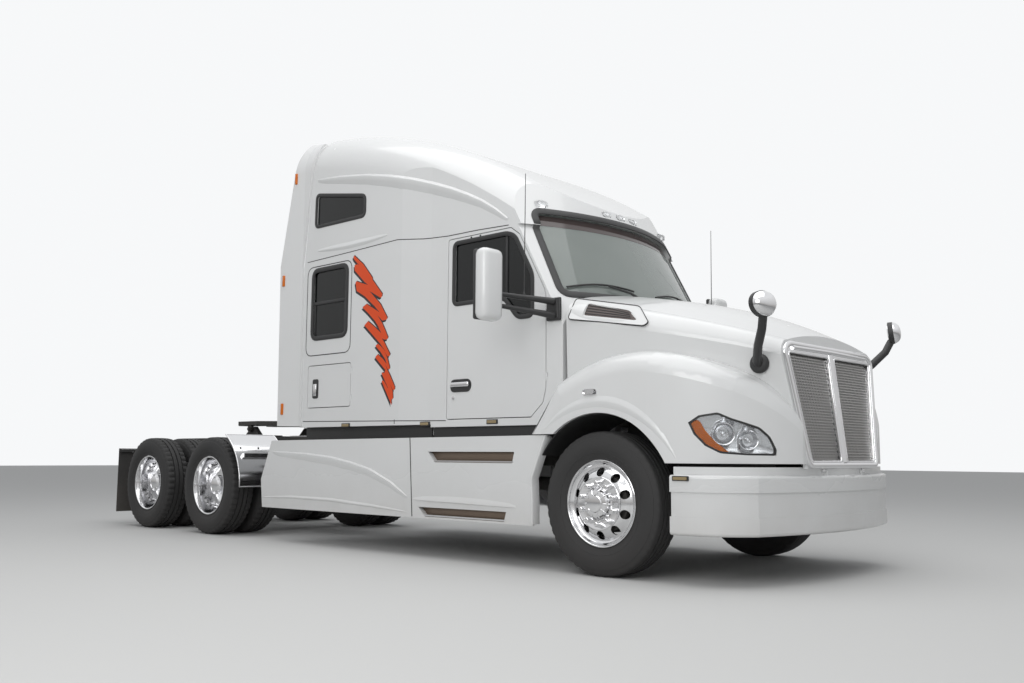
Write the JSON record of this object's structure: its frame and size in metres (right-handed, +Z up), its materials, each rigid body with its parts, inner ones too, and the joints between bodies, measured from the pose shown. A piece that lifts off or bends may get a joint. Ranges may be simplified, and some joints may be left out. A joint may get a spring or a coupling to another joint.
{
  "type": "semi truck tractor unit, three axle highway tractor with high roof sleeper cab",
  "caption": "White highway tractor with a high roof sleeper cab, tilting hood, side skirts, drive wheels in pairs and a tilting coupling plate for a trailer.",
  "frame": {"origin": "on the ground, under the middle of the vehicle's box", "axes": "-Y is forward along the truck, -X is its right side, +Z is up"},
  "size_m": [3.365, 8.4998, 3.9899],
  "materials": {
    "white_paint": "gloss",
    "black_frame": "satin",
    "cast_black": "matte",
    "chrome": "polished",
    "polished_aluminium": "polished",
    "tyre_rubber": "matte",
    "dark_glass": "polished",
    "screen_glass": "polished",
    "lamp_glass": "polished",
    "red_lens": "gloss",
    "black_plastic": "matte",
    "flap_rubber": "matte",
    "grey_plastic": "matte",
    "seat_fabric": "matte"
  },
  "bodies": {
    "chassis": {"frame_rails": "black_frame", "front_axle": "cast_black", "drive_axles": "cast_black", "drive_suspension": "cast_black", "engine_block": "cast_black", "radiator": "cast_black", "driveline": "cast_black", "fuel_tanks": "polished_aluminium", "cab_shell": "white_paint", "sleeper_shell": "white_paint", "roof_cap": "white_paint", "windshield": "screen_glass", "sleeper_windows": "dark_glass", "bumper": "white_paint", "side_skirts": "white_paint", "side_extenders": "white_paint", "main_mirrors": "white_paint", "quarter_fenders": "polished_aluminium", "mud_flaps": "flap_rubber", "rear_lights": "red_lens", "deck_plate": "polished_aluminium", "fifth_wheel_base": "cast_black", "dashboard": "grey_plastic", "steering_wheel": "black_plastic", "seats": "seat_fabric", "bunk": "seat_fabric", "roof_markers": "lamp_glass"},
    "hood": {"hood_shell": "white_paint", "grille": "chrome", "headlamps": "lamp_glass", "hood_mirrors": "chrome"},
    "coupling": {"fifth_wheel_plate": "cast_black"},
    "cab_door_right": {"door_right": "white_paint", "door_glass_right": "dark_glass"},
    "luggage_hatch_right": {"luggage_door_right": "white_paint"},
    "steering_right": {"knuckle_right": "cast_black"},
    "front_wheel_right": {"tyre_front_right": "tyre_rubber", "rim_front_right": "polished_aluminium"},
    "cab_door_left": {"door_left": "white_paint", "door_glass_left": "dark_glass"},
    "luggage_hatch_left": {"luggage_door_left": "white_paint"},
    "steering_left": {"knuckle_left": "cast_black"},
    "front_wheel_left": {"tyre_front_left": "tyre_rubber", "rim_front_left": "polished_aluminium"},
    "drive_wheel_forward_right": {"tyres_drive_forward_right": "tyre_rubber", "rims_drive_forward_right": "polished_aluminium"},
    "drive_wheel_forward_left": {"tyres_drive_forward_left": "tyre_rubber", "rims_drive_forward_left": "polished_aluminium"},
    "drive_wheel_rear_right": {"tyres_drive_rear_right": "tyre_rubber", "rims_drive_rear_right": "polished_aluminium"},
    "drive_wheel_rear_left": {"tyres_drive_rear_left": "tyre_rubber", "rims_drive_rear_left": "polished_aluminium"}
  },
  "joints": [
    {"name": "hood_tilt", "type": "hinge", "parent": "chassis", "child": "hood", "pos_m": [0, -4.205, 0.745], "axis": [1, 0, 0], "range_deg": [0, 65]},
    {"name": "coupling_tilt", "type": "hinge", "parent": "chassis", "child": "coupling", "pos_m": [0, 2.7, 1.118], "axis": [1, 0, 0], "range_deg": [-12, 12]},
    {"name": "door_swing_right", "type": "hinge", "parent": "chassis", "child": "cab_door_right", "pos_m": [-1.053, -2.368, 1.7], "axis": [0, 0, 1], "range_deg": [0, 65]},
    {"name": "luggage_swing_right", "type": "hinge", "parent": "chassis", "child": "luggage_hatch_right", "pos_m": [-1.088, -0.013, 1.475], "axis": [0, 0, 1], "range_deg": [0, 90]},
    {"name": "steer_right", "type": "hinge", "parent": "chassis", "child": "steering_right", "pos_m": [-0.9, -2.976, 0.505], "axis": [0, 0, 1], "range_deg": [-38, 38]},
    {"name": "roll_front_right", "type": "hinge", "parent": "steering_right", "child": "front_wheel_right", "pos_m": [-1.06, -2.976, 0.505], "axis": [1, 0, 0], "continuous": true},
    {"name": "door_swing_left", "type": "hinge", "parent": "chassis", "child": "cab_door_left", "pos_m": [1.053, -2.368, 1.7], "axis": [0, 0, -1], "range_deg": [0, 65]},
    {"name": "luggage_swing_left", "type": "hinge", "parent": "chassis", "child": "luggage_hatch_left", "pos_m": [1.088, -0.013, 1.475], "axis": [0, 0, -1], "range_deg": [0, 90]},
    {"name": "steer_left", "type": "hinge", "parent": "chassis", "child": "steering_left", "pos_m": [0.9, -2.976, 0.505], "axis": [0, 0, 1], "range_deg": [-38, 38]},
    {"name": "roll_front_left", "type": "hinge", "parent": "steering_left", "child": "front_wheel_left", "pos_m": [1.06, -2.976, 0.505], "axis": [1, 0, 0], "continuous": true},
    {"name": "roll_forward_right", "type": "hinge", "parent": "chassis", "child": "drive_wheel_forward_right", "pos_m": [-0.9215, 2.21, 0.505], "axis": [1, 0, 0], "continuous": true},
    {"name": "roll_forward_left", "type": "hinge", "parent": "chassis", "child": "drive_wheel_forward_left", "pos_m": [0.9215, 2.21, 0.505], "axis": [1, 0, 0], "continuous": true},
    {"name": "roll_rear_right", "type": "hinge", "parent": "chassis", "child": "drive_wheel_rear_right", "pos_m": [-0.9215, 3.53, 0.505], "axis": [1, 0, 0], "continuous": true},
    {"name": "roll_rear_left", "type": "hinge", "parent": "chassis", "child": "drive_wheel_rear_left", "pos_m": [0.9215, 3.53, 0.505], "axis": [1, 0, 0], "continuous": true}
  ],
  "couplings": [
    {"joint": "steer_left", "follows": "steer_right", "ratio": 1}
  ]
}
